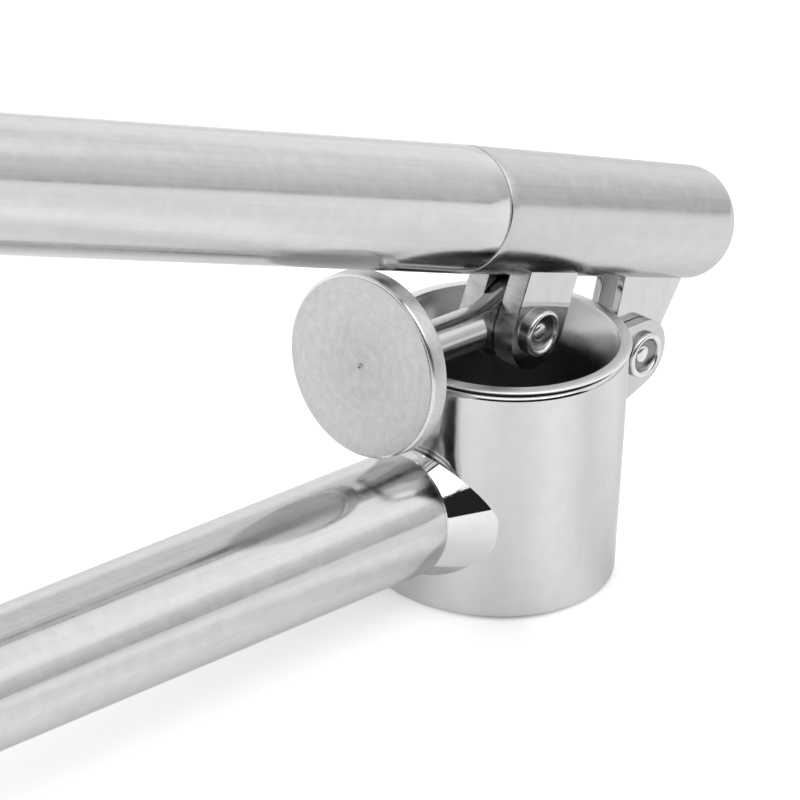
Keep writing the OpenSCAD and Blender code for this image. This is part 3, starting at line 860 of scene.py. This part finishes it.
def floor():
    """White studio floor. The camera sees it lifted to white, with faint shadows; the steel sees it
    as it is lit, a little uneven round the object."""
    bm = bmesh.new()
    bmesh.ops.create_grid(bm, x_segments=1, y_segments=1, size=FLOOR_HALF)
    mesh = bpy.data.meshes.new("studio_floor")
    bm.to_mesh(mesh)
    bm.free()
    obj = bpy.data.objects.new("studio_floor", mesh)
    obj.location.z = FLOOR_Z
    bpy.context.scene.collection.objects.link(obj)
    material = bpy.data.materials.new("studio_floor")
    material.use_nodes = True
    nodes = Nodes(material.node_tree)
    shader = material.node_tree.nodes["Principled BSDF"]
    shader.inputs["Base Color"].default_value = (FLOOR_GREY, FLOOR_GREY, FLOOR_GREY, 1)
    shader.inputs["Roughness"].default_value = FLOOR_ROUGH
    shader.inputs["Specular IOR Level"].default_value = FLOOR_GLOSS
    shader.inputs["Emission Color"].default_value = (1, 1, 1, 1)
    split = nodes.add("ShaderNodeSeparateXYZ")
    nodes.link(nodes.add("ShaderNodeTexCoord").outputs["Object"], split.inputs["Vector"])
    bearing = nodes.math("ARCTAN2", split.outputs["Y"], split.outputs["X"])
    turn = nodes.math("MULTIPLY", nodes.math("SUBTRACT", bearing, LOBE_TURN), FLOOR_LOBES)
    lobes = nodes.math("COSINE", turn, 0)
    glow = nodes.math("ADD", nodes.math("MULTIPLY", lobes, FLOOR_UNEVEN), FLOOR_GLOW)
    seen = nodes.add("ShaderNodeLightPath").outputs["Is Camera Ray"]
    lift = nodes.math("MULTIPLY", seen, FLOOR_LIFT)
    nodes.link(nodes.math("ADD", glow, lift), shader.inputs["Emission Strength"])
    mesh.materials.append(material)


def ramp(nodes, value, stops):
    """Soft ramp of grey against the height of a direction."""
    node = nodes.add("ShaderNodeValToRGB")
    node.color_ramp.interpolation = "EASE"
    elements = node.color_ramp.elements
    while len(elements) < len(stops):
        elements.new(0.5)
    for element, (height, grey) in zip(elements, stops):
        element.position = (height + 1) / 2
        element.color = (grey, grey, grey, 1)
    nodes.link(nodes.math("MULTIPLY", nodes.math("ADD", value, 1), 0.5), node.inputs["Fac"])
    return node.outputs["Color"]


def toward(nodes, direction, bearing, rise):
    """Cosine of the angle between a direction and the one with that bearing and rise in degrees."""
    turn, lift = radians(bearing), radians(rise)
    node = nodes.add("ShaderNodeVectorMath", operation="DOT_PRODUCT")
    node.inputs[1].default_value = (cos(turn) * cos(lift), sin(turn) * cos(lift), sin(lift))
    nodes.link(direction, node.inputs[0])
    return node.outputs["Value"]


def mix(nodes, factor, first, second, blend="MIX"):
    """Mix of two colours, each a socket or a grey."""
    node = nodes.add("ShaderNodeMixRGB", blend_type=blend)
    nodes.link(factor, node.inputs["Fac"])
    for socket, colour in ((node.inputs["Color1"], first), (node.inputs["Color2"], second)):
        if isinstance(colour, (int, float)):
            socket.default_value = (colour, colour, colour, 1)
        else:
            nodes.link(colour, socket)
    return node.outputs["Color"]


def world():
    """White room: a dim belt at the horizon in front, a lit backdrop behind, a dark card with an
    uneven upper edge, and a bright window that the card covers in part."""
    scene_world = bpy.data.worlds.new("studio")
    bpy.context.scene.world = scene_world
    scene_world.use_nodes = True
    nodes = Nodes(scene_world.node_tree)
    direction = nodes.add("ShaderNodeTexCoord").outputs["Generated"]
    split = nodes.add("ShaderNodeSeparateXYZ")
    nodes.link(direction, split.inputs["Vector"])
    height = split.outputs["Z"]
    behind = nodes.spread(split.outputs["Y"], 0.0, 1.0, FRONT_END, BACK_START)
    room = mix(nodes, behind, ramp(nodes, height, FRONT_STOPS), ramp(nodes, height, BACK_STOPS))

    facing = toward(nodes, direction, CARD_BEARING, 0)
    near = nodes.spread(facing, 0.0, 1.0, CARD_EDGE, CARD_EDGE + CARD_SOFT)
    ragged = nodes.math("MULTIPLY", nodes.noise(direction, CARD_SCALE, 5.0, 0.75), CARD_RAGGED)
    top = nodes.math("ADD", ragged, CARD_TOP - CARD_RAGGED / 2)
    below_top = nodes.spread(nodes.math("SUBTRACT", top, height), 0.0, 1.0, 0.0, CARD_TOP_SOFT)
    above_table = nodes.spread(height, 0.0, 1.0, -CARD_FOOT_SOFT, 0.0)
    card = nodes.math("MULTIPLY", near, nodes.math("MULTIPLY", below_top, above_table))
    shaded = mix(nodes, card, room, CARD_GREY)

    sight = toward(nodes, direction, WINDOW_BEARING, WINDOW_HEIGHT)
    window = nodes.spread(sight, 0.0, 1.0, WINDOW_EDGE - WINDOW_SOFT, WINDOW_EDGE + WINDOW_SOFT)
    clear = nodes.math("MULTIPLY", window, nodes.math("SUBTRACT", 1, card))
    lit = mix(nodes, nodes.math("MULTIPLY", clear, WINDOW_GLOW), shaded, 1, "ADD")
    background = scene_world.node_tree.nodes["Background"]
    nodes.link(lit, background.inputs["Color"])
    background.inputs["Strength"].default_value = 1.0


def softbox(name, place, target, size, power):
    """Soft area light that the camera doesn't see."""
    data = bpy.data.lights.new(name, "AREA")
    data.shape = "DISK"
    data.size = size
    data.energy = power
    obj = bpy.data.objects.new(name, data)
    obj.location = place
    obj.rotation_mode = "QUATERNION"
    obj.rotation_quaternion = (Vector(target) - Vector(place)).to_track_quat("-Z", "Y")
    obj.visible_camera = False
    bpy.context.scene.collection.objects.link(obj)


camera()
floor()
world()
softbox("key", KEY_PLACE, KEY_TARGET, KEY_SIZE, KEY_POWER)
bpy.context.scene.view_settings.view_transform = "Standard"
